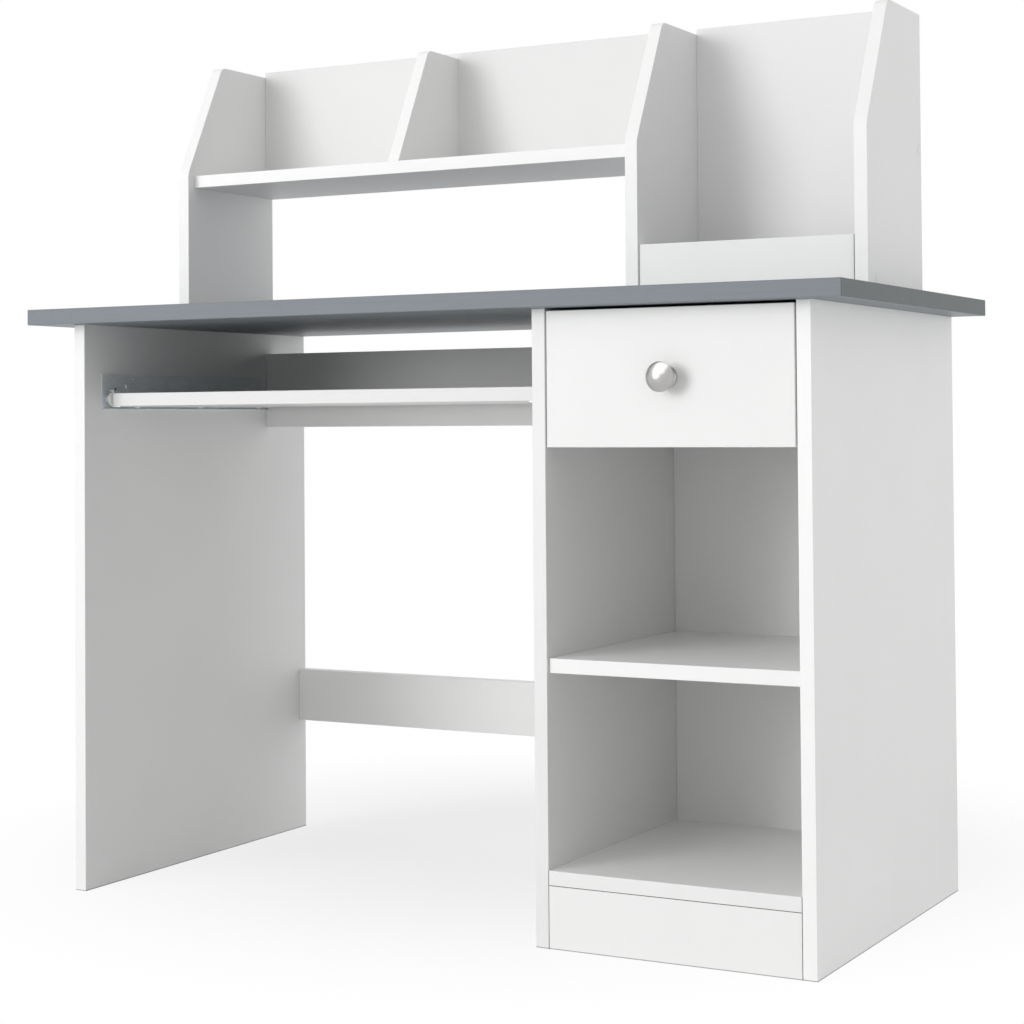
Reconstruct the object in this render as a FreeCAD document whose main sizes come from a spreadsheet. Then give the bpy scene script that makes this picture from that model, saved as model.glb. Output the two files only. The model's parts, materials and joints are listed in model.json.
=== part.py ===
"""Student desk with a sliding keyboard tray, a drawer cabinet and a hutch with sloping sides."""

import FreeCAD, Part
import math
import os
import re

import Sketcher

# Driving dimensions in millimetres, each with what it measures.
SIZES = [
    ("desk_width", 1053, "width of the desktop"),
    ("desk_depth", 503, "depth of the desktop"),
    ("desk_height", 710, "floor to the desktop's upper face"),
    ("top_thick", 19, "thickness of the desktop"),
    ("board", 16, "thickness of the carcass and hutch boards"),
    ("edge_round", 0.8, "radius along the boards' edging"),
    ("left_overhang", 52, "desktop beyond the left leg panel"),
    ("right_overhang", 42, "desktop beyond the cabinet's right panel"),
    ("front_overhang", 26, "desktop in front of the panels"),
    ("cabinet_width", 290, "clear width inside the cabinet"),
    ("cabinet_depth", 336, "clear depth inside the cabinet"),
    ("middle_shelf_top", 312, "upper face of the cabinet's middle shelf"),
    ("bottom_shelf_top", 84, "upper face of the cabinet's bottom shelf"),
    ("shelf_setback", 4, "middle shelf behind the panel fronts"),
    ("shelf_play", 0.5, "gap at each end of the loose middle shelf"),
    ("rail_drop", 27, "rear rail below the desktop's underside"),
    ("rail_height", 101, "height of the rear rail"),
    ("rail_setback", 384, "rear rail behind the panel fronts"),
    ("stretcher_top", 222, "upper edge of the low stretcher"),
    ("stretcher_height", 71, "height of the low stretcher"),
    ("hutch_margin", 53, "desktop beyond each hutch side"),
    ("hutch_depth", 191, "depth of the hutch sides at the desktop"),
    ("hutch_height", 337, "height of the hutch sides"),
    ("hutch_upright", 187, "upright part of a hutch side's front edge"),
    ("hutch_crown", 115, "level top edge of a hutch side"),
    ("crown_round", 14, "radius where the slope meets the crown"),
    ("bend_round", 30, "radius where the upright meets the slope"),
    ("hutch_bay", 265, "clear width of the hutch's right bay"),
    ("left_bay", 292, "clear width of the hutch's left bay"),
    ("divider_setback", 11, "hutch divider behind the shelf's front edge"),
    ("hutch_shelf_top", 185, "hutch shelf's upper face above the desktop"),
    ("hutch_shelf_setback", 13, "hutch shelf behind the sides' front edges"),
    ("back_rise", 6.5, "hutch backs above the sides"),
    ("lip_height", 64, "front lip of the right bay"),
    ("lip_setback", 3, "front lip behind the sides' front edges"),
    ("tray_gap", 84, "desktop's underside to the keyboard tray"),
    ("tray_thick", 16, "thickness of the keyboard tray"),
    ("tray_setback", 39, "keyboard tray behind the panel fronts"),
    ("tray_rear_gap", 5, "keyboard tray in front of the rear rail"),
    ("tray_lead", 7, "fixed runner in front of the tray's edge"),
    ("drawer_reveal", 3, "gap above the drawer front"),
    ("drawer_side_reveal", 2, "gap beside the drawer front"),
    ("drawer_front_height", 148, "height of the drawer front"),
    ("drawer_lift", 13, "drawer box above the front's lower edge"),
    ("drawer_box_height", 100, "height of the drawer sides"),
    ("drawer_rear_gap", 20, "drawer sides in front of the cabinet back"),
    ("drawer_board", 12, "thickness of the drawer sides and back"),
    ("drawer_sheet", 3, "thickness of the drawer bottom"),
    ("groove_depth", 5, "groove for the drawer bottom"),
    ("groove_height", 9, "groove above the sides' lower edge"),
    ("groove_play", 0.2, "clearance around the drawer bottom"),
    ("drawer_lead", 3, "drawer runners behind the drawer front"),
    ("runner_tail", 3, "fixed runner behind what it carries"),
    ("runner_gap", 13, "space for a pair of runners beside a board"),
    ("runner_height", 44, "height of a fixed runner"),
    ("runner_sheet", 1.2, "steel sheet of the runners"),
    ("runner_seat", 4, "what a runner carries above its lower edge"),
    ("runner_lap", 11, "moving runner's flange under what it carries"),
    ("runner_flange", 5, "running flanges of both runners"),
    ("bead_width", 3, "stiffening bead of a fixed runner"),
    ("bead_drop", 6, "bead below the fixed runner's upper edge"),
    ("bead_start", 60, "plain front end before the bead and guide"),
    ("roller_diameter", 18, "nylon rollers"),
    ("roller_width", 3.6, "width of a roller"),
    ("roller_rim", 0.5, "chamfer on a roller's rim"),
    ("roller_inset", 12, "roller's centre from its runner's end"),
    ("front_roller_level", 13, "front roller's centre above the fixed runner's edge"),
    ("axle_radius", 2.5, "pin through a roller"),
    ("axle_collar", 4.5, "radius of the pin's collar"),
    ("axle_head", 3.8, "radius of the pin's head"),
    ("axle_head_thick", 0.6, "thickness of the pin's head"),
    ("run_play", 0.3, "gap between a roller and its track"),
    ("turn_play", 0.05, "gap around a turning pin"),
    ("spare_hole", 26, "spare hole behind the fixed runner's front"),
    ("spare_level", 25, "spare hole above the fixed runner's edge"),
    ("spare_radius", 2.2, "spare hole"),
    ("knob_radius", 16, "widest radius of the knob"),
    ("knob_length", 26, "knob's projection from the drawer front"),
    ("knob_rim", 18, "knob's widest ring from the drawer front"),
    ("knob_band", 1.2, "plain band around the knob's head"),
    ("knob_neck", 7, "radius of the knob's neck"),
    ("knob_foot", 12, "radius of the knob's foot"),
    ("knob_foot_thick", 2.5, "thickness of the knob's foot"),
    ("knob_neck_place", 9, "neck from the drawer front"),
    ("knob_collar", 9.5, "radius under the knob's head"),
    ("knob_collar_place", 14, "underside of the head from the drawer front"),
    ("pin_radius", 2.5, "shelf pin"),
    ("pin_length", 10, "shelf pin outside the panel"),
    ("pin_depth", 9, "shelf pin inside the panel"),
    ("pin_margin", 45, "shelf pins from the shelf's front and rear"),
    ("pin_play", 0.05, "gap around a shelf pin in its hole"),
]

# Planes and lengths that follow from the driving dimensions.
PLACES = [
    ("desk_left", "-desk_width / 2"),
    ("desk_right", "desk_width / 2"),
    ("desk_front", "-desk_depth / 2"),
    ("desk_rear", "desk_depth / 2"),
    ("under_top", "desk_height - top_thick"),
    ("panel_front", "desk_front + front_overhang"),
    ("panel_depth", "desk_depth - front_overhang"),
    ("left_outer", "desk_left + left_overhang"),
    ("left_inner", "left_outer + board"),
    ("right_outer", "desk_right - right_overhang"),
    ("right_inner", "right_outer - board"),
    ("cabinet_inner", "right_inner - cabinet_width"),
    ("cabinet_outer", "cabinet_inner - board"),
    ("knee_width", "cabinet_outer - left_inner"),
    ("cabinet_rear", "panel_front + cabinet_depth"),
    ("rail_front", "panel_front + rail_setback"),
    ("rail_base", "under_top - rail_drop - rail_height"),
    ("hutch_rear", "rail_front + board"),
    ("hutch_front", "hutch_rear - hutch_depth"),
    ("hutch_left", "desk_left + hutch_margin"),
    ("hutch_right", "desk_right - hutch_margin"),
    ("bay_right", "hutch_right - board"),
    ("bay_left", "bay_right - hutch_bay"),
    ("middle_left", "bay_left - board"),
    ("shelf_left", "hutch_left + board"),
    ("hutch_shelf_width", "middle_left - shelf_left"),
    ("divider_left", "shelf_left + left_bay"),
    ("hutch_shelf_front", "hutch_front + hutch_shelf_setback"),
    ("hutch_shelf_face", "desk_height + hutch_shelf_top"),
    ("hutch_back_front", "hutch_rear - board"),
    ("slope_run", "(hutch_depth - hutch_crown) / (hutch_height - hutch_upright)"),
    ("divider_front", "hutch_shelf_front + divider_setback"),
    ("divider_depth", "hutch_back_front - divider_front"),
    ("divider_height", "hutch_height - hutch_shelf_top"),
    ("divider_crown", "divider_depth - slope_run * divider_height"),
    ("hutch_back_top", "desk_height + hutch_height + back_rise"),
    ("tray_left", "left_inner + runner_gap"),
    ("tray_width", "knee_width - 2 * runner_gap"),
    ("tray_base", "under_top - tray_gap - tray_thick"),
    ("tray_front", "panel_front + tray_setback"),
    ("tray_depth", "rail_setback - tray_setback - tray_rear_gap"),
    ("tray_runner", "tray_lead + tray_depth + runner_tail"),
    ("tray_runner_base", "tray_base - runner_seat"),
    ("tray_runner_front", "tray_front - tray_lead"),
    ("drawer_front_top", "under_top - drawer_reveal"),
    ("drawer_front_base", "drawer_front_top - drawer_front_height"),
    ("drawer_box_front", "panel_front + board"),
    ("drawer_box_depth", "cabinet_depth - board - drawer_rear_gap"),
    ("drawer_runner", "drawer_box_depth - drawer_lead + runner_tail"),
    ("drawer_box_base", "drawer_front_base + drawer_lift"),
    ("drawer_left", "cabinet_inner + runner_gap"),
    ("drawer_width", "cabinet_width - 2 * runner_gap"),
    ("drawer_inside", "drawer_width - 2 * drawer_board"),
    ("drawer_sheet_base", "drawer_box_base + groove_height + groove_play"),
    ("drawer_back_base", "drawer_sheet_base + drawer_sheet"),
    ("drawer_rear", "drawer_box_front + drawer_box_depth"),
    ("drawer_runner_base", "drawer_box_base - runner_seat"),
    ("drawer_runner_front", "drawer_box_front + drawer_lead"),
    ("knob_place", "cabinet_inner + cabinet_width / 2"),
    ("knob_level", "(drawer_front_base + drawer_front_top) / 2"),
    ("roller_radius", "roller_diameter / 2"),
    ("roller_bore", "axle_radius + turn_play"),
    ("rear_roller_level", "runner_sheet + run_play + roller_radius"),
    ("guide_level", "rear_roller_level + roller_radius + run_play"),
    ("flange_level", "front_roller_level + roller_radius + run_play"),
    ("web_face", "runner_gap - runner_sheet"),
    ("flange_reach", "web_face - runner_flange"),
    ("track_reach", "runner_sheet + runner_flange"),
    ("roller_seat", "axle_head_thick + run_play + turn_play"),
    ("front_roller_place", "web_face - roller_seat - roller_width / 2"),
    ("rear_roller_place", "runner_sheet + roller_seat + roller_width / 2"),
    ("axle_reach", "web_face - runner_sheet - run_play"),
]

doc = FreeCAD.newDocument("student_desk")
sheet = doc.addObject("Spreadsheet::Sheet", "Sizes")
for row, (alias, number, note) in enumerate(SIZES, start=1):
    sheet.set(f"A{row}", str(number))
    sheet.setAlias(f"A{row}", alias)
    sheet.set(f"B{row}", note)
doc.recompute()

places = doc.addObject("App::FeaturePython", "Places")
size_names = {alias for alias, number, note in SIZES}
place_names = {name for name, text in PLACES}


def spell(text):
    """The expression with each name pointing at its cell or place."""

    def owner(match):
        word = match.group(0)
        if word in size_names:
            return "Sizes." + word
        if word in place_names:
            return "Places." + word
        return word

    return re.sub(r"[a-z_]+", owner, str(text))


for name, text in PLACES:
    places.addProperty("App::PropertyFloat", name)
    places.setExpression(name, spell(text))
doc.recompute()


def value(name):
    """A size or place as a number."""
    return float(sheet.get(name)) if name in size_names else float(getattr(places, name))


nodes = {}


def new_body(label, corner):
    """An empty body whose origin sits at the given corner of the desk's frame."""
    body = doc.addObject("PartDesign::Body", label)
    for axis, text in zip("xyz", corner):
        body.setExpression(f"Placement.Base.{axis}", spell(text))
    nodes[label] = body
    return body


def origin_feature(body, role):
    return next(item for item in body.Origin.OriginFeatures if item.Role == role)


def new_sketch(body, plane, name):
    sketch = body.newObject("Sketcher::SketchObject", name)
    sketch.AttachmentSupport = [(origin_feature(body, plane), "")]
    sketch.MapMode = "FlatFace"
    return sketch


def hold_point(sketch, line, end, point):
    """Holds a line's end, or a circle's centre, by its two distances from the sketch's origin."""
    for kind, text in zip(("DistanceX", "DistanceY"), point):
        index = sketch.addConstraint(Sketcher.Constraint(kind, -1, 1, line, end, 1.0))
        sketch.setExpression(f"Constraints[{index}]", spell(text))


def outline(body, plane, name, points):
    """A closed outline of straight lines through points written as expressions."""
    sketch = new_sketch(body, plane, name)
    count = len(points)
    turn = 2 * math.pi / count
    ring = [FreeCAD.Vector(math.cos(turn * i), math.sin(turn * i), 0) for i in range(count)]
    sketch.addGeometry([Part.LineSegment(ring[i - 1], ring[i]) for i in range(count)])
    sketch.addConstraint([Sketcher.Constraint("Coincident", i - 1, 2, i, 1) for i in range(1, count)])
    sketch.addConstraint(Sketcher.Constraint("Coincident", count - 1, 2, 0, 1))
    for line, point in enumerate(points):
        hold_point(sketch, line, 1, point)
    return sketch


def circles(body, plane, name, centres, radius):
    """Equal circles whose centres are written as expressions."""
    sketch = new_sketch(body, plane, name)
    for item, centre in enumerate(centres):
        start = FreeCAD.Vector(item, item, 0)
        sketch.addGeometry(Part.Circle(start, FreeCAD.Vector(0, 0, 1), 0.5))
        hold_point(sketch, item, 3, centre)
        index = sketch.addConstraint(Sketcher.Constraint("Radius", item, 0.5))
        sketch.setExpression(f"Constraints[{index}]", spell(radius))
    return sketch


def rectangle(wide, high):
    return [("0", "0"), (wide, "0"), (wide, high), ("0", high)]


def pad(body, sketch, length, reversed_side=False):
    feature = body.newObject("PartDesign::Pad", "pad")
    feature.Profile = sketch
    feature.Reversed = reversed_side
    feature.setExpression("Length", spell(length))
    doc.recompute()
    return feature


def pocket(body, sketch, length, reversed_side=False):
    """A cut into the body, which has to take something away."""
    before = body.Shape.Volume
    feature = body.newObject("PartDesign::Pocket", "pocket")
    feature.Profile = sketch
    feature.Reversed = reversed_side
    feature.setExpression("Length", spell(length))
    doc.recompute()
    if body.Shape.Volume >= before:
        raise RuntimeError(f"{body.Label}: the pocket cuts nothing")
    return feature


def round_edges(body, base, radius, chosen):
    """A fillet on the edges of the base feature that pass the test."""
    edges = [f"Edge{i}" for i, edge in enumerate(base.Shape.Edges, start=1) if chosen(edge, base.Shape)]
    feature = body.newObject("PartDesign::Fillet", "rounding")
    feature.Base = (base, edges)
    feature.setExpression("Radius", spell(radius))
    doc.recompute()
    return feature


def on_front(edge, shape):
    return edge.BoundBox.YMax < shape.BoundBox.YMin + value("edge_round") / 2


def any_edge(edge, shape):
    return True


def upright_board(label, corner, deep, high):
    """A board standing in the YZ plane, one board thick along X."""
    body = new_body(label, corner)
    blank = pad(body, outline(body, "YZ_Plane", "outline", rectangle(deep, high)), "board")
    round_edges(body, blank, "edge_round", on_front)
    return body


def cross_board(label, corner, wide, high, thick="board", chosen=on_front):
    """A board standing in the XZ plane, with its face to the front."""
    body = new_body(label, corner)
    blank = pad(body, outline(body, "XZ_Plane", "outline", rectangle(wide, high)), thick, True)
    round_edges(body, blank, "edge_round", chosen)
    return body


def level_board(label, corner, wide, deep, thick="board", chosen=on_front):
    """A board lying in the XY plane."""
    body = new_body(label, corner)
    blank = pad(body, outline(body, "XY_Plane", "outline", rectangle(wide, deep)), thick)
    round_edges(body, blank, "edge_round", chosen)
    return body


def hutch_board(label, corner, deep, high, upright, crown):
    """A hutch board with an upright front edge, a slope and a rounded crown."""
    body = new_body(label, corner)
    points = [("0", "0"), (deep, "0"), (deep, high), (f"{deep} - ({crown})", high)]
    if upright:
        points.append(("0", upright))
    blank = pad(body, outline(body, "YZ_Plane", "outline", points), "board")

    def at_bend(edge, shape):
        box = edge.BoundBox
        across = box.XLength > value("board") / 2
        return across and box.YMax < value("edge_round") and box.ZMin > value("edge_round")

    def at_crown(edge, shape):
        box = edge.BoundBox
        inner = value("edge_round") < box.YMin and box.YMax < shape.BoundBox.YMax - value("edge_round")
        across = box.XLength > value("board") / 2
        return across and inner and box.ZMin > shape.BoundBox.ZMax - value("edge_round")

    def at_rim(edge, shape):
        box = edge.BoundBox
        flat = box.XLength < value("edge_round") / 2
        on_rear = box.YMin > shape.BoundBox.YMax - value("edge_round")
        at_foot = box.ZMax < value("edge_round")
        return flat and not on_rear and not at_foot

    tip = blank
    if upright:
        tip = round_edges(body, tip, "bend_round", at_bend)
    tip = round_edges(body, tip, "crown_round", at_crown)
    round_edges(body, tip, "edge_round", at_rim)
    return body


def turned(label, corner, points):
    """A piece turned about the X axis, from an outline of places along it and radii."""
    body = new_body(label, corner)
    feature = body.newObject("PartDesign::Revolution", "turning")
    feature.Profile = outline(body, "XY_Plane", "half_section", points)
    feature.ReferenceAxis = (origin_feature(body, "X_Axis"), [""])
    feature.Angle = 360
    doc.recompute()
    return body


# Desktop and the boards that carry it
desktop_corner = ("desk_left", "desk_front", "under_top")
level_board("desktop", desktop_corner, "desk_width", "desk_depth", "top_thick", any_edge)
upright_board("left_leg_panel", ("left_outer", "panel_front", "0"), "panel_depth", "under_top")
upright_board("cabinet_left_panel", ("cabinet_outer", "panel_front", "0"), "panel_depth", "under_top")
upright_board("cabinet_right_panel", ("right_inner", "panel_front", "0"), "panel_depth", "under_top")
cross_board("rear_rail", ("left_inner", "rail_front", "rail_base"), "knee_width", "rail_height")
cross_board(
    "low_stretcher",
    ("left_inner", "desk_rear - board", "stretcher_top - stretcher_height"),
    "knee_width",
    "stretcher_height",
)

# Cabinet
cross_board("cabinet_back", ("cabinet_inner", "cabinet_rear", "0"), "cabinet_width", "under_top")
level_board(
    "middle_shelf",
    ("cabinet_inner + shelf_play", "panel_front + shelf_setback", "middle_shelf_top - board"),
    "cabinet_width - 2 * shelf_play",
    "cabinet_depth - shelf_setback",
)
level_board(
    "bottom_shelf",
    ("cabinet_inner", "panel_front", "bottom_shelf_top - board"),
    "cabinet_width",
    "cabinet_depth",
)
cross_board("plinth", ("cabinet_inner", "panel_front", "0"), "cabinet_width", "bottom_shelf_top - board")

# Hutch
for label, place in (
    ("hutch_left_side", "hutch_left"),
    ("hutch_middle_panel", "middle_left"),
    ("hutch_right_side", "bay_right"),
):
    corner = (place, "hutch_front", "desk_height")
    hutch_board(label, corner, "hutch_depth", "hutch_height", "hutch_upright", "hutch_crown")
level_board(
    "hutch_shelf",
    ("shelf_left", "hutch_shelf_front", "hutch_shelf_face - board"),
    "hutch_shelf_width",
    "hutch_depth - hutch_shelf_setback",
)
hutch_board(
    "hutch_divider",
    ("divider_left", "divider_front", "hutch_shelf_face"),
    "divider_depth",
    "divider_height",
    "",
    "divider_crown",
)
cross_board(
    "hutch_left_back",
    ("shelf_left", "hutch_back_front", "hutch_shelf_face"),
    "hutch_shelf_width",
    "hutch_back_top - hutch_shelf_face",
)
cross_board(
    "hutch_right_back",
    ("bay_left", "hutch_back_front", "desk_height"),
    "hutch_bay",
    "hutch_back_top - desk_height",
)
cross_board("hutch_lip", ("bay_left", "hutch_front + lip_setback", "desk_height"), "hutch_bay", "lip_height")

# Keyboard tray
tray_corner = ("tray_left", "tray_front", "tray_base")
level_board("keyboard_tray", tray_corner, "tray_width", "tray_depth", "tray_thick")

# Drawer
cross_board(
    "drawer_front",
    ("cabinet_inner + drawer_side_reveal", "panel_front", "drawer_front_base"),
    "cabinet_width - 2 * drawer_side_reveal",
    "drawer_front_height",
)


def drawer_side(label, corner, sign):
    """A drawer side with the groove for the bottom in its inner face."""
    body = new_body(label, corner)
    groove_top = "groove_height + drawer_sheet + 2 * groove_play"
    inner, deep = f"{sign} * drawer_board", f"{sign} * (drawer_board - groove_depth)"
    points = [("0", "0"), (inner, "0"), (inner, "groove_height"), (deep, "groove_height"), (deep, groove_top)]
    points += [(inner, groove_top), (inner, "drawer_box_height"), ("0", "drawer_box_height")]
    pad(body, outline(body, "XZ_Plane", "section", points), "drawer_box_depth", True)


drawer_side("drawer_left_side", ("drawer_left", "drawer_box_front", "drawer_box_base"), 1)
drawer_side("drawer_right_side", ("drawer_left + drawer_width", "drawer_box_front", "drawer_box_base"), -1)
cross_board(
    "drawer_back",
    ("drawer_left + drawer_board", "drawer_rear - drawer_board", "drawer_back_base"),
    "drawer_inside",
    "drawer_box_base + drawer_box_height - drawer_back_base",
    "drawer_board",
)
bottom = new_body(
    "drawer_bottom",
    ("drawer_left + drawer_board - groove_depth + groove_play", "drawer_box_front", "drawer_sheet_base"),
)
bottom_outline = rectangle("drawer_inside + 2 * (groove_depth - groove_play)", "drawer_box_depth")
pad(bottom, outline(bottom, "XY_Plane", "outline", bottom_outline), "drawer_sheet")

# Knob, turned about the axis that points out of the drawer
knob = new_body("drawer_knob", ("knob_place", "panel_front", "knob_level"))
knob_section = new_sketch(knob, "XY_Plane", "half_section")
knob_points = [
    ("0", "-knob_length"),
    ("0", "0"),
    ("knob_foot", "0"),
    ("knob_foot", "-knob_foot_thick"),
    ("knob_neck", "-knob_neck_place"),
    ("knob_collar", "-knob_collar_place"),
    ("knob_radius", "-knob_rim"),
    ("knob_radius", "-knob_rim - knob_band"),
]
dome = len(knob_points) - 1
for line in range(dome):
    start = FreeCAD.Vector(line, -line, 0)
    knob_section.addGeometry(Part.LineSegment(start, start + FreeCAD.Vector(1, 0, 0)))
for line in range(1, dome):
    knob_section.addConstraint(Sketcher.Constraint("Coincident", line - 1, 2, line, 1))
for line in range(dome):
    hold_point(knob_section, line, 1, knob_points[line])
hold_point(knob_section, dome - 1, 2, knob_points[dome])
doc.recompute()
sketch_normal = FreeCAD.Vector(0, 0, 1)
dome_rise = value("knob_length") - value("knob_rim") - value("knob_band")
dome_radius = (dome_rise**2 + value("knob_radius") ** 2) / (2 * dome_rise)
dome_centre = FreeCAD.Vector(0, dome_radius - value("knob_length"), 0)
dome_circle = Part.Circle(dome_centre, sketch_normal, dome_radius)
dome_edge = math.asin(value("knob_radius") / dome_radius) - math.pi / 2
knob_section.addGeometry(Part.ArcOfCircle(dome_circle, -math.pi / 2, dome_edge))
knob_section.addConstraint(Sketcher.Constraint("Coincident", dome, 1, 0, 1))
knob_section.addConstraint(Sketcher.Constraint("Coincident", dome, 2, dome - 1, 2))
knob_section.addConstraint(Sketcher.Constraint("PointOnObject", dome, 3, -2))
knob_turning = knob.newObject("PartDesign::Revolution", "turning")
knob_turning.Profile = knob_section
knob_turning.ReferenceAxis = (origin_feature(knob, "Y_Axis"), [""])
knob_turning.Angle = 360
doc.recompute()

# Runners: a fixed channel on the board and a moving angle under what it carries


def fixed_runner(label, corner, sign, length):
    """Roll-formed channel: a track at the foot, a guide over the rear roller and a bead near the top."""

    def point(reach, level):
        return (f"{sign} * ({reach})", level)

    bead = "runner_height - bead_drop"
    section = [point("0", "0"), point("track_reach", "0")]
    section += [point("track_reach", "runner_sheet"), point("runner_sheet", "runner_sheet")]
    for reach, level in (("track_reach", "guide_level"), ("bead_width", bead)):
        section += [point("runner_sheet", level), point(reach, level)]
        section += [point(reach, f"{level} + runner_sheet"), point("runner_sheet", f"{level} + runner_sheet")]
    section += [point("runner_sheet", "runner_height"), point("0", "runner_height")]
    body = new_body(label, corner)
    pad(body, outline(body, "XZ_Plane", "section", section), length, True)
    below_guide, past_guide = "guide_level - run_play", "track_reach + run_play"
    clear = [point("runner_sheet", below_guide), point(past_guide, below_guide)]
    clear += [point(past_guide, "runner_height"), point("runner_sheet", "runner_height")]
    pocket(body, outline(body, "XZ_Plane", "plain_front", clear), "bead_start")
    hole = circles(body, "YZ_Plane", "spare_hole", [("spare_hole", "spare_level")], "spare_radius")
    pocket(body, hole, "runner_sheet", sign > 0)


def moving_runner(label, corner, sign, length):
    """Folded angle: a running flange over the front roller, a web and a flange under the load."""

    def point(reach, level):
        return (f"{sign} * ({reach})", level)

    foot = "runner_seat - runner_sheet"
    section = [point("web_face", foot), point("runner_gap + runner_lap", foot)]
    section += [point("runner_gap + runner_lap", "runner_seat"), point("runner_gap", "runner_seat")]
    section += [point("runner_gap", "flange_level + runner_sheet")]
    section += [point("flange_reach", "flange_level + runner_sheet"), point("flange_reach", "flange_level")]
    section += [point("web_face", "flange_level")]
    body = new_body(label, corner)
    pad(body, outline(body, "XZ_Plane", "section", section), length, True)


def roller(label, corner):
    """Nylon roller with chamfered rims, turned about the X axis."""
    edge, rim = "roller_width / 2", "roller_radius - roller_rim"
    points = [(f"-{edge}", "roller_bore"), (edge, "roller_bore"), (edge, rim)]
    points += [(f"{edge} - roller_rim", "roller_radius"), (f"roller_rim - {edge}", "roller_radius")]
    points += [(f"-{edge}", rim)]
    turned(label, corner, points)


def axle(label, corner, sign):
    """Riveted pin with a collar between the web and the roller and a thin head."""
    neck = "axle_reach - axle_head_thick"
    shoulder = f"{neck} - roller_width - 2 * turn_play"
    profile = [("0", "0"), ("axle_reach", "0"), ("axle_reach", "axle_head"), (neck, "axle_head")]
    profile += [(neck, "axle_radius"), (shoulder, "axle_radius"), (shoulder, "axle_collar")]
    profile += [("0", "axle_collar")]
    turned(label, corner, [(f"{sign} * ({place})", radius) for place, radius in profile])


def runner_pair(name, side, sign, face, base, start, length, moving_start):
    """One side of a slide: both runners, and the rollers that turn on them."""
    front_y, rear_y = f"{start} + roller_inset", f"{start} + {length} - roller_inset"
    front_z, rear_z = f"{base} + front_roller_level", f"{base} + rear_roller_level"
    fixed_runner(f"{name}_fixed_runner_{side}", (face, start, base), sign, length)
    moving_length = f"{start} + {length} - {moving_start}"
    moving_runner(f"{name}_moving_runner_{side}", (face, moving_start, base), sign, moving_length)
    axle(f"{name}_front_axle_{side}", (f"{face} + {sign} * runner_sheet", front_y, front_z), sign)
    axle(f"{name}_rear_axle_{side}", (f"{face} + {sign} * web_face", rear_y, rear_z), -sign)
    roller(f"{name}_front_roller_{side}", (f"{face} + {sign} * front_roller_place", front_y, front_z))
    roller(f"{name}_rear_roller_{side}", (f"{face} + {sign} * rear_roller_place", rear_y, rear_z))


for side, sign, tray_face, drawer_face in (
    ("left", 1, "left_inner", "cabinet_inner"),
    ("right", -1, "cabinet_outer", "right_inner"),
):
    tray_start, drawer_start = "tray_runner_front", "drawer_runner_front"
    runner_pair("tray", side, sign, tray_face, "tray_runner_base", tray_start, "tray_runner", "tray_front")
    drawer_base = "drawer_runner_base"
    runner_pair("drawer", side, sign, drawer_face, drawer_base, drawer_start, "drawer_runner", drawer_start)

# Shelf pins under the loose middle shelf, in blind holes of both cabinet panels
pin_rows = (("front", "panel_front + shelf_setback + pin_margin"), ("rear", "cabinet_rear - pin_margin"))
pin_level = "middle_shelf_top - board - pin_radius"
for side, sign, panel, face in (
    ("left", 1, "cabinet_left_panel", "cabinet_inner"),
    ("right", -1, "cabinet_right_panel", "right_inner"),
):
    centres = [(f"{place} - panel_front", pin_level) for row, place in pin_rows]
    holes = circles(nodes[panel], "YZ_Plane", "pin_holes", centres, "pin_radius + pin_play")
    if sign > 0:
        holes.setExpression("AttachmentOffset.Base.z", spell("board"))
    pocket(nodes[panel], holes, "pin_depth + pin_play", sign < 0)
    for row, place in pin_rows:
        profile = [("-pin_depth", "0"), ("pin_length", "0")]
        profile += [("pin_length", "pin_radius"), ("-pin_depth", "pin_radius")]
        points = [(f"{sign} * {along}", radius) for along, radius in profile]
        turned(f"shelf_pin_{row}_{side}", (face, place, pin_level), points)

for item in doc.Objects:
    if "Invalid" in item.State or "Error" in item.State:
        raise RuntimeError(f"{item.Label} of {[owner.Label for owner in item.InList]}: {item.State}")
os.makedirs("parts", exist_ok=True)
for label, body in nodes.items():
    if body.Shape.isNull() or not body.Shape.isValid() or len(body.Shape.Solids) != 1:
        raise RuntimeError(f"{label}: not one valid solid")
    body.Shape.exportStep(f"parts/{label}.step")
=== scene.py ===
"""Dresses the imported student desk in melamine, zinc and nickel, and sets it in a plain pale studio."""

import functools
import json
import math

import bmesh
import bpy
from mathutils import Matrix, Vector


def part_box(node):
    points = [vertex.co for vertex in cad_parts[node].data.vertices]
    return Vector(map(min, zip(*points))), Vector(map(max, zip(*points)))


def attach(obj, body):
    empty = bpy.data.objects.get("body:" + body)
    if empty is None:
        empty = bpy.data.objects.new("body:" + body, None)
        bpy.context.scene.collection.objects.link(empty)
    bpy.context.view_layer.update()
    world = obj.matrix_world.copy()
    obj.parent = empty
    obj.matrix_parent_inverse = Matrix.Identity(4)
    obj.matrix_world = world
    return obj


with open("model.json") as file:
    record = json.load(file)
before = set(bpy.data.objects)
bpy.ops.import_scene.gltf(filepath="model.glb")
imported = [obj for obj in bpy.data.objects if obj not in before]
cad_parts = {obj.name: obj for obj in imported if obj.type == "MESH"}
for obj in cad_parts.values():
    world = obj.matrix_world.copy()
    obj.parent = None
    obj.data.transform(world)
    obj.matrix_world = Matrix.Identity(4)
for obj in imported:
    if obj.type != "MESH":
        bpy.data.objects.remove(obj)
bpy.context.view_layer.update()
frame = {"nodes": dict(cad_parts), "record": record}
nodes = frame["nodes"]
scene = bpy.context.scene
scene.view_settings.view_transform = "Standard"

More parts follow.
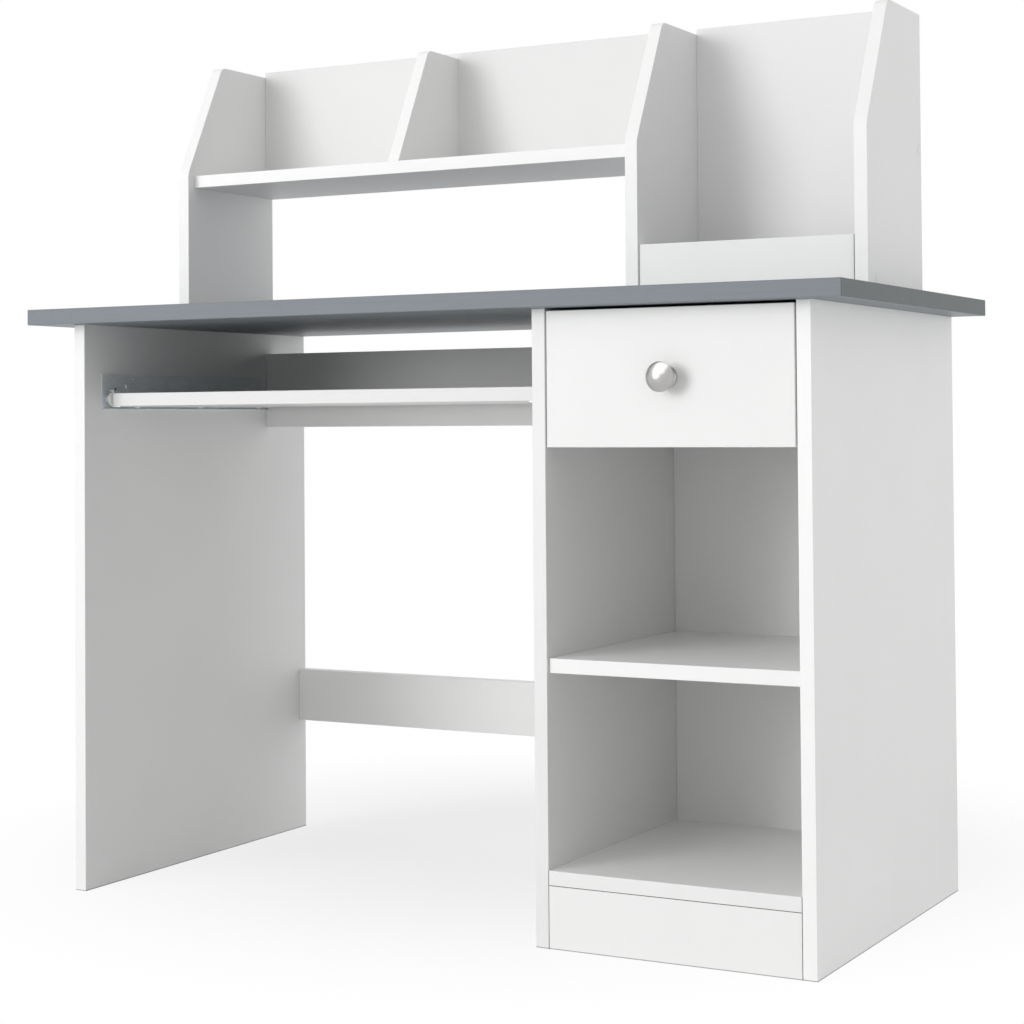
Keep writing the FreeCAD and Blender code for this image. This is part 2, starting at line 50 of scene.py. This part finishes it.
# Camera, in metres and radians, with the photograph's frame in pixels
CAMERA_PLACE = Vector((1.2661, -2.2947, 0.5684))
CAMERA_YAW = 0.49913
CAMERA_PITCH = 0.0227
CAMERA_ROLL = -0.00735
FRAME_PIXELS = 1024
FOCAL_PIXELS = 2157.23
SHIFT_PIXELS = -139.5
SENSOR = 36.0

# Lamps: name, place, target, side in metres and power in watts
LAMPS = (
    ("key_lamp", (-2.6, -3.3, 2.7), (0.1, 0, 0.6), 2.4, 8.0),
    ("front_lamp", (-2.4, -5.2, 2.2), (0, 0, 0.55), 3.0, 70.0),
    ("low_lamp", (-3.2, -6.0, 1.4), (0, 0, 0.55), 2.6, 91.0),
    ("side_lamp", (4.2, 0.9, 0.35), (0.4, 0, 0.35), 1.6, 36.0),
)
AMBIENT = 0.61

# Soft box that the knob mirrors: its place as seen from the knob, its side and its power
BOX_PLACE = Vector((-0.25, -0.8, 1.0))
BOX_SIDE = 1.6
BOX_POWER = 12.0

# Floor: its reach, and the share of white glow in what is seen, under the desk and away from it
FLOOR_REACH = 9.0
NEAR_GLOW = 0.64
FAR_GLOW = 1.0
GLOW_CENTRE = Vector((-0.1, 0.3, 0.0))
GLOW_START = 0.15
GLOW_END = 0.9

# Tones of the finishes
PURE_WHITE = (1, 1, 1, 1)
FLOOR_TONE = (0.86, 0.86, 0.86, 1)
WHITE_FACE = (0.855, 0.855, 0.85)
WHITE_EDGE = (0.925, 0.925, 0.92)
# Near-black core: partly the bare particle board, partly painted shade in joints, drilled holes and at the
# foot of the boards
DARK_CORE_AND_SHADE = (0.075, 0.07, 0.065)
SLATE_DARK = (0.226, 0.250, 0.272)
SLATE_LIGHT = (0.240, 0.265, 0.288)
# Desktop ends: partly their own edging tone, partly painted shade
SLATE_END_AND_SHADE = (0.14, 0.155, 0.16)
SLATE_GLOSS = 0.12
ZINC_DARK = (0.76, 0.79, 0.81)
ZINC_LIGHT = (0.86, 0.89, 0.91)
NICKEL = (0.46, 0.455, 0.445)
NYLON = (0.80, 0.80, 0.78)

# Painted light and shade: lighter and darker copies of the white on some boards' faces and edging, where
# the lamps light them too little or too much
NO_PAINTED_LIGHT = (0.0, 0.0)
BOARD_PAINTED_LIGHT = {
    "hutch_left_back": (-0.08, -0.08),
    "hutch_shelf": (0.04, 0.03),
    "hutch_divider": (0.0, 0.03),
    "hutch_middle_panel": (0.03, 0.03),
    "hutch_right_side": (-0.04, 0.03),
    "hutch_lip": (0.08, 0.0),
    "middle_shelf": (0.08, 0.0),
    "bottom_shelf": (0.09, -0.06),
    "plinth": (0.04, 0.0),
    "drawer_front": (0.02, 0.0),
    "cabinet_left_panel": (-0.08, -0.09),
    "cabinet_right_panel": (0.0, 0.03),
    "left_leg_panel": (-0.05, -0.05),
    "keyboard_tray": (-0.06, -0.13),
}

# Painted shade where a board stands on the floor: the height of the dark band at its foot, and the share of
# the board's own colour left at the foot
FOOT_SHADE_HEIGHT = 0.0014
FOOT_UNSHADED_SHARE = 0.3

# Limits between which noise changes a colour or a number, and a surface's direction makes an edge a face
COLOUR_LIMITS = (0.3, 0.7)
NUMBER_LIMITS = (0.35, 0.65)
FACE_LIMITS = (0.5, 0.8)


def put_node(tree, kind, sockets=None, **settings):
    """A new shader node with its settings and socket values."""
    made = tree.nodes.new(kind)
    for name, item in settings.items():
        setattr(made, name, item)
    set_sockets(made, sockets or {})
    return made


def set_sockets(node, values):
    """Sets a node's input sockets by name or number."""
    for name, item in values.items():
        node.inputs[name].default_value = item


def shaded(tone, step=0.0):
    """An opaque colour: a tone made lighter or darker by a step."""
    return tuple(max(0.0, min(1.0, part * (1 + step))) for part in tone) + (1.0,)


class Finish:
    """A procedural material on object coordinates; the sockets given are even all over the surface."""

    def __init__(self, name, sockets=None):
        self.material = bpy.data.materials.new(name)
        self.material.use_nodes = True
        self.tree = self.material.node_tree
        self.shader = self.tree.nodes["Principled BSDF"]
        set_sockets(self.shader, sockets or {})
        self.coordinates = put_node(self.tree, "ShaderNodeTexCoord")

    def link(self, start, end):
        self.tree.links.new(start, end)

    def noise(self, size, stretch=(1, 1, 1), detail=3.0):
        """Noise whose features are about the given size in metres, drawn out along an axis by stretch."""
        mapping = put_node(self.tree, "ShaderNodeMapping", {"Scale": [1 / part for part in stretch]})
        texture = put_node(self.tree, "ShaderNodeTexNoise", {"Scale": 1 / size, "Detail": detail})
        self.link(self.coordinates.outputs["Object"], mapping.inputs["Vector"])
        self.link(mapping.outputs["Vector"], texture.inputs["Vector"])
        return texture.outputs["Fac"]

    def spread(self, factor, low, high, limits=NUMBER_LIMITS):
        """A number that runs from low to high as the factor runs between its limits."""
        ranges = {"From Min": limits[0], "From Max": limits[1], "To Min": low, "To Max": high}
        made = put_node(self.tree, "ShaderNodeMapRange", ranges)
        self.link(factor, made.inputs["Value"])
        return made.outputs["Result"]

    def tint(self, factor, low, high):
        """A colour that runs from low to high with the factor."""
        made = put_node(self.tree, "ShaderNodeValToRGB")
        for element, place, tone in zip(made.color_ramp.elements, COLOUR_LIMITS, (low, high)):
            element.position = place
            element.color = tone
        self.link(factor, made.inputs["Fac"])
        return made.outputs["Color"]

    def mix(self, factor, first, second, kind="MIX"):
        """Two colours mixed by a factor; each is a socket or a value."""
        made = put_node(self.tree, "ShaderNodeMix", data_type="RGBA", blend_type=kind)
        share, left, right = made.inputs[0], made.inputs[6], made.inputs[7]
        for socket, item in ((share, factor), (left, first), (right, second)):
            if isinstance(item, bpy.types.NodeSocket):
                self.link(item, socket)
            else:
                socket.default_value = item
        return made.outputs[2]

    def varied(self, tone, shade, swing, size):
        """A shaded tone that drifts by a swing either way over patches of a size in metres."""
        return self.tint(self.noise(size), shaded(tone, shade - swing), shaded(tone, shade + swing))

    def speckled(self, colour, grains, darkest):
        """A colour whose grains go down to a darkest share of it."""
        specks = self.tint(grains, (darkest, darkest, darkest, 1), PURE_WHITE)
        return self.mix(1.0, colour, specks, "MULTIPLY")

    def split(self, source):
        """The X, Y and Z sockets of the object's coordinates or of the surface's direction."""
        made = put_node(self.tree, "ShaderNodeSeparateXYZ")
        self.link(self.coordinates.outputs[source], made.inputs["Vector"])
        return made.outputs

    def square_to(self, axis):
        """1 on the faces square to an axis, and 0 on the edges along it."""
        size = put_node(self.tree, "ShaderNodeMath", operation="ABSOLUTE")
        self.link(self.split("Normal")[axis], size.inputs[0])
        return self.spread(size.outputs["Value"], 0.0, 1.0, FACE_LIMITS)

    def colour(self, socket):
        self.link(socket, self.shader.inputs["Base Color"])

    def roughness(self, factor, low, high, limits=NUMBER_LIMITS):
        self.link(self.spread(factor, low, high, limits), self.shader.inputs["Roughness"])

    def bump(self, height, depth, strength=1.0):
        made = put_node(self.tree, "ShaderNodeBump", {"Strength": strength, "Distance": depth})
        self.link(height, made.inputs["Height"])
        self.link(made.outputs["Normal"], self.shader.inputs["Normal"])


@functools.cache
def melamine(thin_axis, face_painted_light, edge_painted_light):
    """White board: fine pearl on the faces, smoother edging, faces and edging made lighter or darker by
    painted light and shade, and a dark band of painted shade where it meets the floor.
    """
    percents = [round(100 + 100 * shade) for shade in (face_painted_light, edge_painted_light)]
    finish = Finish("white_melamine_{}_{}_{}".format(thin_axis.lower(), *percents))
    # Painted light and shade: the face and edging tones are stepped lighter or darker board by board
    clouds = finish.varied(WHITE_FACE, face_painted_light, swing=0.012, size=0.16)
    face = finish.speckled(clouds, finish.noise(size=0.0011), darkest=0.975)
    edging = finish.varied(WHITE_EDGE, edge_painted_light, swing=0.006, size=0.03)
    board = finish.mix(finish.square_to(thin_axis), edging, face)
    # Painted shade: a dark band at the foot of the board where it stands on the floor
    level = finish.split("Object")["Z"]
    clear_of_foot_shade = finish.spread(level, FOOT_UNSHADED_SHARE, 1.0, (FOOT_SHADE_HEIGHT / 2, FOOT_SHADE_HEIGHT))
    finish.colour(finish.mix(clear_of_foot_shade, shaded(DARK_CORE_AND_SHADE), board))
    pearl = finish.noise(size=0.0016)
    finish.roughness(pearl, low=0.40, high=0.52)
    finish.bump(pearl, depth=0.00008, strength=0.6)
    return finish.material


def slate():
    """Slate grey melamine with a faint grain along the desktop, and darker, greyer edging on its ends:
    partly a plainer edging, partly painted shade as on an end turned from the lamps.
    """
    finish = Finish("slate_melamine", {"Specular IOR Level": SLATE_GLOSS})
    fibres = finish.noise(size=0.004, stretch=(60, 1, 1), detail=5.0)
    grain = finish.tint(fibres, shaded(SLATE_DARK), shaded(SLATE_LIGHT))
    # Painted shade: the ends' edging is darker, partly its own tone and partly shade painted in
    edging = finish.varied(SLATE_END_AND_SHADE, 0.0, swing=0.02, size=0.03)
    board = finish.mix(finish.square_to("X"), grain, edging)
    finish.colour(finish.speckled(board, finish.noise(size=0.0009), darkest=0.96))
    pores = finish.noise(size=0.0013, stretch=(14, 1, 1))
    finish.roughness(pores, low=0.34, high=0.44)
    finish.bump(pores, depth=0.0001, strength=0.5)
    return finish.material


def zinc():
    """Zinc plate on rolled steel: soft spangle and drawing lines along the runner."""
    finish = Finish("zinc_steel", {"Metallic": 0.6})
    patches = finish.noise(size=0.012, stretch=(1, 2, 1))
    spangle = finish.tint(patches, shaded(ZINC_DARK), shaded(ZINC_LIGHT))
    lines = finish.noise(size=0.0012, stretch=(1, 60, 1))
    finish.colour(finish.speckled(spangle, lines, darkest=0.9))
    finish.roughness(finish.noise(size=0.006), low=0.44, high=0.58)
    finish.bump(lines, depth=0.00006, strength=0.5)
    return finish.material


def nylon():
    """Natural nylon with moulding mottle."""
    finish = Finish("white_nylon", {"Subsurface Weight": 0.15, "Subsurface Scale": 0.001})
    finish.colour(finish.varied(NYLON, -0.005, swing=0.025, size=0.004))
    mottle = finish.noise(size=0.0008)
    finish.roughness(mottle, low=0.42, high=0.55)
    finish.bump(mottle, depth=0.00004)
    return finish.material


def core():
    """Near-black particle board in the joints between boards and inside drilled holes: partly the bare
    core, partly painted shade in these gaps.
    """
    finish = Finish("dark_core_and_shade")
    grit = finish.noise(size=0.0012)
    finish.colour(finish.tint(grit, shaded(DARK_CORE_AND_SHADE, -0.4), shaded(DARK_CORE_AND_SHADE, 0.5)))
    finish.roughness(grit, low=0.8, high=0.95)
    finish.bump(grit, depth=0.0001)
    return finish.material


def nickel():
    """Satin nickel with fine turning rings about the knob's axis."""
    finish = Finish("satin_nickel", {"Metallic": 1.0})
    centred = put_node(finish.tree, "ShaderNodeMapping", {"Location": -centre("drawer_knob")})
    wave = {"Scale": 420.0, "Distortion": 0.6, "Detail": 2.0}
    turned = put_node(finish.tree, "ShaderNodeTexWave", wave, wave_type="RINGS", rings_direction="Y")
    finish.link(finish.coordinates.outputs["Object"], centred.inputs["Vector"])
    finish.link(centred.outputs["Vector"], turned.inputs["Vector"])
    rings = turned.outputs["Fac"]
    finish.colour(finish.varied(NICKEL, -0.005, swing=0.045, size=0.006))
    finish.roughness(rings, low=0.24, high=0.31, limits=(0.0, 1.0))
    finish.bump(rings, depth=0.00001, strength=0.4)
    return finish.material


# Places on the nodes


def low(node, axis):
    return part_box(node)[0]["xyz".index(axis)]


def high(node, axis):
    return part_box(node)[1]["xyz".index(axis)]


def ends(node, axis, inset=0.0):
    """A node's two ends along an axis, each moved inward by an inset."""
    return low(node, axis) + inset, high(node, axis) - inset


def along(node, axis, share):
    """The place at a share of a node's extent along an axis."""
    return low(node, axis) + share * (high(node, axis) - low(node, axis))


def middle(node, axis):
    return along(node, axis, 0.5)


def centre(node):
    return sum(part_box(node), Vector()) / 2


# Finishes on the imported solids
finishes = {
    "slate_melamine": slate(),
    "zinc_steel": zinc(),
    "white_nylon": nylon(),
    "satin_nickel": nickel(),
    "dark_core_and_shade": core(),
}
slots = {part["node"]: part["material_slot"] for part in frame["record"]["subparts"]}
for node, solid in nodes.items():
    first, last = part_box(node)
    thin = min(range(3), key=lambda axis: last[axis] - first[axis])
    finish = finishes.get(slots[node]) or melamine("XYZ"[thin], *BOARD_PAINTED_LIGHT.get(node, NO_PAINTED_LIGHT))
    solid.data.materials.clear()
    solid.data.materials.append(finish)

# Small fittings, in millimetres: radii and heights up the head, and the reach and depth of its cross
PAN_HEAD = (
    ((3.4, -0.2), (3.5, 0.0), (3.5, 0.5), (3.3, 1.1), (2.8, 1.6), (2.0, 1.9), (1.7, 1.95)),
    (1.5, 1.1),
)
FLAT_HEAD = (
    ((3.3, -0.2), (3.4, 0.0), (3.4, 0.4), (3.1, 0.9), (2.4, 1.2), (1.6, 1.3)),
    (1.4, 0.8),
)
TRUSS_HEAD = (
    ((4.6, -0.2), (4.7, 0.0), (4.6, 0.6), (4.0, 1.5), (3.0, 2.1), (1.8, 2.3)),
    (1.6, 1.3),
)
CAM_LOCK = (
    ((7.3, -0.2), (7.5, 0.0), (7.5, 0.5), (7.1, 0.9), (4.2, 0.9)),
    (3.6, 0.7),
)
COVER_CAP = (
    ((5.9, -0.2), (6.0, 0.0), (6.0, 0.15), (5.7, 0.35), (5.0, 0.5), (3.4, 0.6), (1.6, 0.65)),
    None,
)
DRILLED_HOLE = (
    ((2.1, -0.2), (2.15, 0.3), (1.9, 0.3), (1.5, 0.1), (0.6, 0.0)),
    None,
)
MILLIMETRE = 0.001
HEAD_STEPS = 28

# Driver's cross: the half width of its arms and the size of its foot, as shares of its reach
CROSS_WIDTH = 0.24
CROSS_TAPER = 0.62

# Turn of a group's first head and of each next one, and the angle from which an edge is sharp, in radians
FIRST_TURN = 0.35
NEXT_TURN = 1.9
SHARP = 0.6

LEFT, RIGHT, REAR, DOWN = (-1, 0, 0), (1, 0, 0), (0, 1, 0), (0, 0, -1)


def cross_outline(reach):
    """The twelve corners of a driver's cross."""
    half = reach * CROSS_WIDTH
    arm = [(reach, -half), (reach, half), (half, half)]
    corners = []
    for quarter in range(4):
        turn = Matrix.Rotation(quarter * math.pi / 2, 2)
        corners += [turn @ Vector(corner) for corner in arm]
    return corners


def add_head(mesh, kind, place, direction, turn):
    """Adds one fitting's head to a mesh: a turned outline, with a tapered cross where its kind has one."""
    outline, cross = kind
    stand = Matrix.Translation(place) @ Vector(direction).to_track_quat("Z", "Y").to_matrix().to_4x4()
    stand = stand @ Matrix.Rotation(turn, 4, "Z") @ Matrix.Scale(MILLIMETRE, 4)
    angles = [2 * math.pi * step / HEAD_STEPS for step in range(HEAD_STEPS)]
    rings = []
    for radius, height in outline:
        points = [(radius * math.cos(angle), radius * math.sin(angle), height) for angle in angles]
        rings.append([mesh.verts.new(stand @ Vector(point)) for point in points])
    mesh.faces.new(rings[0])
    walls = [*zip(rings, rings[1:])]
    if cross is None:
        mesh.faces.new(rings[-1])
    else:
        reach, depth = cross
        top = outline[-1][1]
        mouth = [mesh.verts.new(stand @ Vector((*corner, top))) for corner in cross_outline(reach)]
        foot = cross_outline(reach * CROSS_TAPER)
        inner = [mesh.verts.new(stand @ Vector((*corner, top - depth))) for corner in foot]
        mesh.faces.new(inner)
        rims = []
        for loop in (rings[-1], mouth):
            rims += [mesh.edges.new((loop[step - 1], loop[step])) for step in range(len(loop))]
        bmesh.ops.triangle_fill(mesh, use_beauty=True, edges=rims)
        walls.append((mouth, inner))
    for lower, upper in walls:
        add_wall(mesh, lower, upper)


def add_wall(mesh, lower, upper):
    """Joins two rings of points with a closed wall."""
    for step in range(len(lower)):
        mesh.faces.new((lower[step - 1], lower[step], upper[step], upper[step - 1]))


def add_piece(name, mesh, body, finish):
    """Turns a mesh into a piece that rides on a body."""
    bmesh.ops.recalc_face_normals(mesh, faces=mesh.faces)
    for face in mesh.faces:
        face.smooth = True
    for edge in mesh.edges:
        edge.smooth = edge.calc_face_angle(0.0) < SHARP
    data = bpy.data.meshes.new(name)
    mesh.to_mesh(data)
    mesh.free()
    data.materials.append(finish)
    piece = bpy.data.objects.new(name, data)
    scene.collection.objects.link(piece)
    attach(piece, body)


def fittings(name, body, slot, kind, places, finish=""):
    """A group of like fittings on one body; each place is a point and the way its head faces."""
    mesh = bmesh.new()
    for number, (place, direction) in enumerate(places):
        add_head(mesh, kind, Vector(place), direction, FIRST_TURN + NEXT_TURN * number)
    add_piece(name, mesh, body, finishes[finish or slot])


# Joint lines: dark strips between boards, partly bare core and partly painted shade in the grooves; their
# sections across the line and behind its face, in millimetres
JOINT_SECTION = ((-0.4, 0.1), (0.4, 0.1), (0.13, 0.45), (-0.13, 0.45))

# Painted shade: the lip stands behind the side at its right, so that corner's dark strip reaches forward
# along the side, where only the shadow of the joint shows
CORNER_SHADE_SECTION = ((-0.05, -2.2), (0.9, -2.2), (0.9, 0.05), (-0.05, 0.05))


def add_joint(mesh, start, end, section=JOINT_SECTION):
    """Adds a strip with the given section along a joint line on a front face."""
    start, end = Vector(start), Vector(end)
    across = (end - start).normalized().cross(Vector(REAR))
    rings = []
    for place in (start, end):
        corners = [place + MILLIMETRE * (side * across + depth * Vector(REAR)) for side, depth in section]
        rings.append([mesh.verts.new(corner) for corner in corners])
    for ring in rings:
        mesh.faces.new(ring)
    add_wall(mesh, *rings)


joints = bmesh.new()
front = low("plinth", "y")
for x in ends("plinth", "x"):
    add_joint(joints, (x, front, 0), (x, front, high("bottom_shelf", "z")))
add_joint(joints, *((x, front, low("bottom_shelf", "z")) for x in ends("plinth", "x")))
lip_front = low("hutch_lip", "y")
for x, section in zip(ends("hutch_lip", "x"), (JOINT_SECTION, CORNER_SHADE_SECTION)):
    add_joint(joints, *((x, lip_front, z) for z in ends("hutch_lip", "z")), section)
add_piece("joint_lines_and_shade", joints, "carcass", finishes["dark_core_and_shade"])

# Cover caps over the screws that hold the hutch and the cross boards to the side panels
RIGHT_CAP_LEVEL = 0.886
LEFT_CAP_LEVEL = 0.976
FOOT_CAP_INSET = 0.028
FOOT_CAP_RISE = 0.015
hutch_right = high("hutch_right_side", "x")
hutch_left = low("hutch_left_side", "x")
back_row = middle("hutch_left_back", "y")
foot_cap = (low("hutch_right_side", "y") + FOOT_CAP_INSET, low("hutch_right_side", "z") + FOOT_CAP_RISE)
cap_places = [
    ((hutch_right, back_row, RIGHT_CAP_LEVEL), RIGHT),
    ((hutch_right, *foot_cap), RIGHT),
    ((hutch_left, middle("hutch_shelf", "y"), middle("hutch_shelf", "z")), LEFT),
    ((hutch_left, back_row, LEFT_CAP_LEVEL), LEFT),
]
leg_outer = low("left_leg_panel", "x")
for board, share in (("rear_rail", 0.25), ("rear_rail", 0.75), ("low_stretcher", 0.5)):
    cap_places.append(((leg_outer, middle(board, "y"), along(board, "z", share)), LEFT))
fittings("cover_caps", "carcass", "white_nylon", COVER_CAP, cap_places)


def inner_faces(left, right):
    """The facing sides of a left and a right board, and the way each looks."""
    return (high(left, "x"), RIGHT), (low(right, "x"), LEFT)


# Cam locks: behind the rail, under the bottom shelf, on the panels above the drawer, and in the drawer
CAM_INSET = 0.034
RAIL_CAM_RISE = 0.025
SHELF_CAM_INSET = 0.05
PANEL_CAM_INSET = 0.06
PANEL_CAM_DROP = 0.025
DRAWER_CAM_INSET = 0.024
cam_places = []
for rise in (-RAIL_CAM_RISE, RAIL_CAM_RISE):
    for x in ends("rear_rail", "x", CAM_INSET):
        cam_places.append(((x, high("rear_rail", "y"), middle("rear_rail", "z") + rise), REAR))
for y in ends("bottom_shelf", "y", SHELF_CAM_INSET):
    for x in ends("bottom_shelf", "x", CAM_INSET):
        cam_places.append(((x, y, low("bottom_shelf", "z")), DOWN))
for x, direction in inner_faces("cabinet_left_panel", "cabinet_right_panel"):
    for y in ends("bottom_shelf", "y", PANEL_CAM_INSET):
        cam_places.append(((x, y, low("desktop", "z") - PANEL_CAM_DROP), direction))
fittings("carcass_cams", "carcass", "zinc_steel", CAM_LOCK, cam_places)

drawer_cam_row = high("drawer_front", "y") + DRAWER_CAM_INSET
drawer_cams = []
for x, direction in inner_faces("drawer_left_side", "drawer_right_side"):
    for share in (0.35, 0.75):
        drawer_cams.append(((x, drawer_cam_row, along("drawer_left_side", "z", share)), direction))
fittings("drawer_cams", "drawer", "zinc_steel", CAM_LOCK, drawer_cams)

# Screws through the runners, and the board's drilled hole behind each fixed runner's spare hole: a shallow
# dark cup, partly core and partly painted shade for the depth of the hole
SHEET = 0.0012
SCREW_INSET = 0.048
SCREW_LEVEL = 0.029
SPARE_HOLE = 0.026
SPARE_LEVEL = 0.025
FLANGE_INSET = 0.006
screw_places = []
hole_places = []
for slide in ("tray", "drawer"):
    for side, direction in (("left", RIGHT), ("right", LEFT)):
        runner = f"{slide}_fixed_runner_{side}"
        board = low(runner, "x") if side == "left" else high(runner, "x")
        web = board + SHEET * direction[0]
        for y in ends(runner, "y", SCREW_INSET):
            screw_places.append(((web, y, low(runner, "z") + SCREW_LEVEL), direction))
        hole = (board, low(runner, "y") + SPARE_HOLE, low(runner, "z") + SPARE_LEVEL)
        hole_places.append((hole, direction))
fittings("runner_screws", "carcass", "zinc_steel", PAN_HEAD, screw_places)
fittings("drilled_holes_and_shade", "carcass", "white_melamine", DRILLED_HOLE, hole_places, "dark_core_and_shade")
for slide in ("tray", "drawer"):
    flange_places = []
    for side in ("left", "right"):
        runner = f"{slide}_moving_runner_{side}"
        x = high(runner, "x") - FLANGE_INSET if side == "left" else low(runner, "x") + FLANGE_INSET
        for share in (0.12, 0.5, 0.88):
            flange_places.append(((x, along(runner, "y", share), low(runner, "z")), DOWN))
    fittings(f"{slide}_flange_screws", slide, "zinc_steel", FLAT_HEAD, flange_places)

# Screws of the drawer's rear corners and the knob
corner_places = []
for x, direction in ((low("drawer_left_side", "x"), LEFT), (high("drawer_right_side", "x"), RIGHT)):
    for share in (0.45, 0.85):
        corner_places.append(((x, middle("drawer_back", "y"), along("drawer_back", "z", share)), direction))
fittings("drawer_corner_screws", "drawer", "zinc_steel", FLAT_HEAD, corner_places)
knob_place = (middle("drawer_knob", "x"), high("drawer_front", "y"), middle("drawer_knob", "z"))
fittings("knob_screw", "drawer", "zinc_steel", TRUSS_HEAD, [(knob_place, REAR)])

# Studio: a pale floor, a white world and soft lamps


def empty_tree(owner):
    """The cleared shader nodes of a material or a world."""
    owner.use_nodes = True
    owner.node_tree.nodes.clear()
    return owner.node_tree


def shown_rays(tree):
    """1 for the rays that show the background: the camera's, and those reflected or let through."""
    path = put_node(tree, "ShaderNodeLightPath")
    shown = path.outputs["Is Camera Ray"]
    for kind in ("Is Glossy Ray", "Is Transmission Ray"):
        either = put_node(tree, "ShaderNodeMath", operation="MAXIMUM")
        tree.links.new(shown, either.inputs[0])
        tree.links.new(path.outputs[kind], either.inputs[1])
        shown = either.outputs["Value"]
    return shown


def show_mixed(tree, factor, first, second, output):
    """Mixes two shaders by a factor and shows the result at a new output node."""
    both = put_node(tree, "ShaderNodeMixShader")
    out = put_node(tree, output)
    tree.links.new(factor, both.inputs["Fac"])
    tree.links.new(first, both.inputs[1])
    tree.links.new(second, both.inputs[2])
    tree.links.new(both.outputs["Shader"], out.inputs["Surface"])


def pale_floor():
    """A matt floor whose white glow grows with the distance from the desk's shade."""
    material = bpy.data.materials.new("pale_floor")
    tree = empty_tree(material)
    matt = put_node(tree, "ShaderNodeBsdfDiffuse", {"Color": FLOOR_TONE})
    glow = put_node(tree, "ShaderNodeEmission", {"Color": PURE_WHITE, "Strength": 1.0})
    place = put_node(tree, "ShaderNodeTexCoord")
    distance = put_node(tree, "ShaderNodeVectorMath", {1: GLOW_CENTRE}, operation="DISTANCE")
    ranges = {"From Min": GLOW_START, "From Max": GLOW_END, "To Min": NEAR_GLOW, "To Max": FAR_GLOW}
    fade = put_node(tree, "ShaderNodeMapRange", ranges, interpolation_type="SMOOTHSTEP")
    share = put_node(tree, "ShaderNodeMath", operation="MULTIPLY")
    tree.links.new(place.outputs["Object"], distance.inputs[0])
    tree.links.new(distance.outputs["Value"], fade.inputs["Value"])
    tree.links.new(shown_rays(tree), share.inputs[0])
    tree.links.new(fade.outputs["Result"], share.inputs[1])
    shaders = (matt.outputs["BSDF"], glow.outputs["Emission"])
    show_mixed(tree, share.outputs["Value"], *shaders, "ShaderNodeOutputMaterial")
    return material


def white_world():
    """A world that lights the desk softly and shows white."""
    world = bpy.data.worlds.new("studio")
    tree = empty_tree(world)
    ambient = put_node(tree, "ShaderNodeBackground", {"Color": PURE_WHITE, "Strength": AMBIENT})
    white = put_node(tree, "ShaderNodeBackground", {"Color": PURE_WHITE, "Strength": 1.0})
    shaders = (ambient.outputs["Background"], white.outputs["Background"])
    show_mixed(tree, shown_rays(tree), *shaders, "ShaderNodeOutputWorld")
    return world


def soft_lamp(name, place, target, side, power):
    """A square area lamp that faces a target."""
    lamp = bpy.data.lights.new(name, "AREA")
    lamp.shape = "SQUARE"
    lamp.size = side
    lamp.energy = power
    holder = bpy.data.objects.new(name, lamp)
    holder.location = place
    holder.rotation_euler = (Vector(target) - Vector(place)).to_track_quat("-Z", "Y").to_euler()
    scene.collection.objects.link(holder)
    return holder


floor_mesh = bpy.data.meshes.new("floor")
floor_corners = [(x * FLOOR_REACH, y * FLOOR_REACH, 0) for x, y in ((-1, -1), (1, -1), (1, 1), (-1, 1))]
floor_mesh.from_pydata(floor_corners, [], [(0, 1, 2, 3)])
floor_mesh.materials.append(pale_floor())
floor = bpy.data.objects.new("floor", floor_mesh)
scene.collection.objects.link(floor)
scene.world = white_world()
for lamp in LAMPS:
    soft_lamp(*lamp)

# A soft box overhead that only the metal knob mirrors
knob = centre("drawer_knob")
soft_box = soft_lamp("knob_lamp", knob + BOX_PLACE, knob, BOX_SIDE, BOX_POWER)
soft_box.light_linking.receiver_collection = bpy.data.collections.new("mirrors_soft_box")
soft_box.light_linking.receiver_collection.objects.link(nodes["drawer_knob"])

# Camera
right = Vector((math.cos(CAMERA_YAW), math.sin(CAMERA_YAW), 0))
ahead = Vector((-math.sin(CAMERA_YAW), math.cos(CAMERA_YAW), 0)) * math.cos(CAMERA_PITCH)
ahead += Vector((0, 0, math.sin(CAMERA_PITCH)))
upward = right.cross(ahead)
rolled_right = math.cos(CAMERA_ROLL) * right + math.sin(CAMERA_ROLL) * upward
rolled_up = math.cos(CAMERA_ROLL) * upward - math.sin(CAMERA_ROLL) * right
camera = bpy.data.cameras.new("camera")
camera.sensor_width = SENSOR
camera.lens = FOCAL_PIXELS * SENSOR / FRAME_PIXELS
camera.shift_y = SHIFT_PIXELS / FRAME_PIXELS
eye = bpy.data.objects.new("camera", camera)
turn = Matrix((rolled_right, rolled_up, -ahead)).transposed()
eye.matrix_world = Matrix.Translation(CAMERA_PLACE) @ turn.to_4x4()
scene.collection.objects.link(eye)
scene.camera = eye
